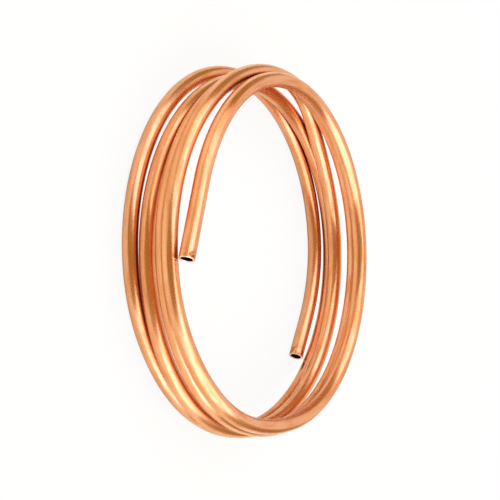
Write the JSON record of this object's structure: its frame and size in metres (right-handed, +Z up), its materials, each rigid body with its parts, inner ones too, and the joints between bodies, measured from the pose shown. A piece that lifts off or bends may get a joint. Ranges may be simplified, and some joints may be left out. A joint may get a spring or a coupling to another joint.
{
  "type": "copper tube coil",
  "caption": "Open coil of soft round copper tube with plain cut ends, lying flat; stock to bend into water, gas or refrigerant lines.",
  "frame": {"origin": "on the floor under the middle of the coil's box", "axes": "+Z up along the coil's axis, -Y towards the side where the upper end of the tube is"},
  "size_m": [0.1996, 0.2028, 0.0429],
  "materials": {
    "copper": "bright drawn copper with fine lengthwise streaks"
  },
  "bodies": {
    "root": {"copper_tube": "copper"}
  },
  "joints": []
}
